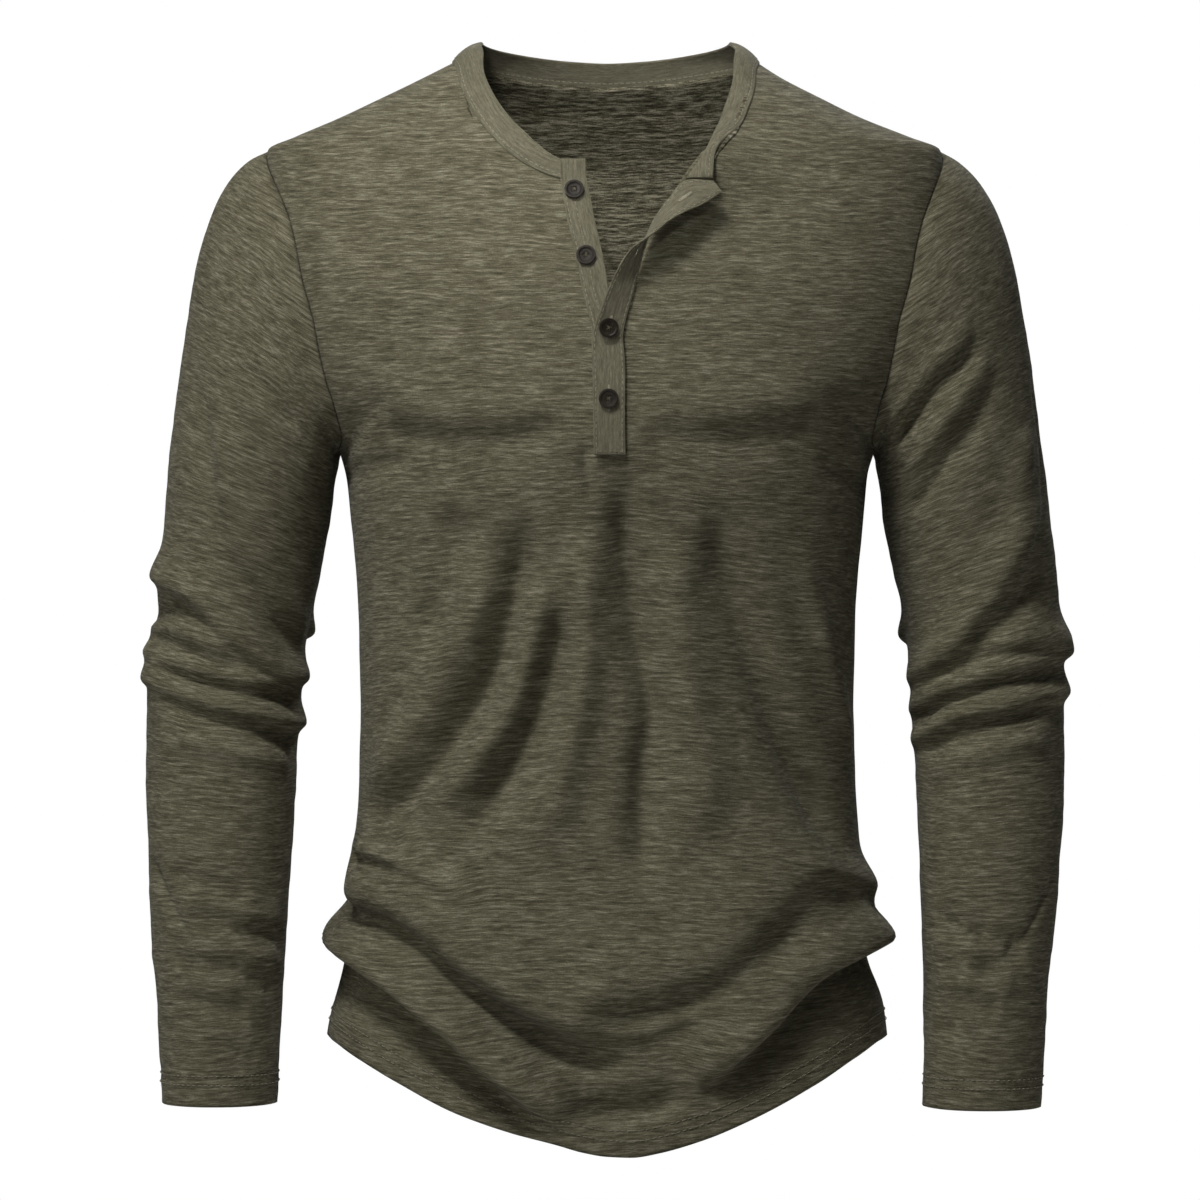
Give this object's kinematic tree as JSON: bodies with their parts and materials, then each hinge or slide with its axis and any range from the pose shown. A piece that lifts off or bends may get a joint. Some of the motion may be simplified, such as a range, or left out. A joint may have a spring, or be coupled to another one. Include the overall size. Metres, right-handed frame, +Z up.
{
  "type": "henley shirt",
  "caption": "Long-sleeved knit henley shirt on a hollow worn form, with a half-open button placket, a bound neck and a curved hem.",
  "frame": {"origin": "midway between the two neck points, on the shoulder line, where the wearer holds the shirt", "axes": "+Z up towards the neck, -Y out of the shirt's front, +X towards the wearer's left"},
  "size_m": [0.6169, 0.2628, 0.7334],
  "materials": {
    "cloth": "olive slub jersey, matte",
    "trim": "olive jersey, self-bound and stitched, matte",
    "button": "very dark brown, softly polished"
  },
  "bodies": {
    "root": {"front_panel": "cloth", "back_panel": "cloth", "sleeve_right": "cloth", "sleeve_left": "cloth", "neckband": "trim", "button_stand": "trim", "placket": "trim", "button_1": "button", "button_2": "button", "button_3": "button", "button_4": "button"}
  },
  "joints": []
}
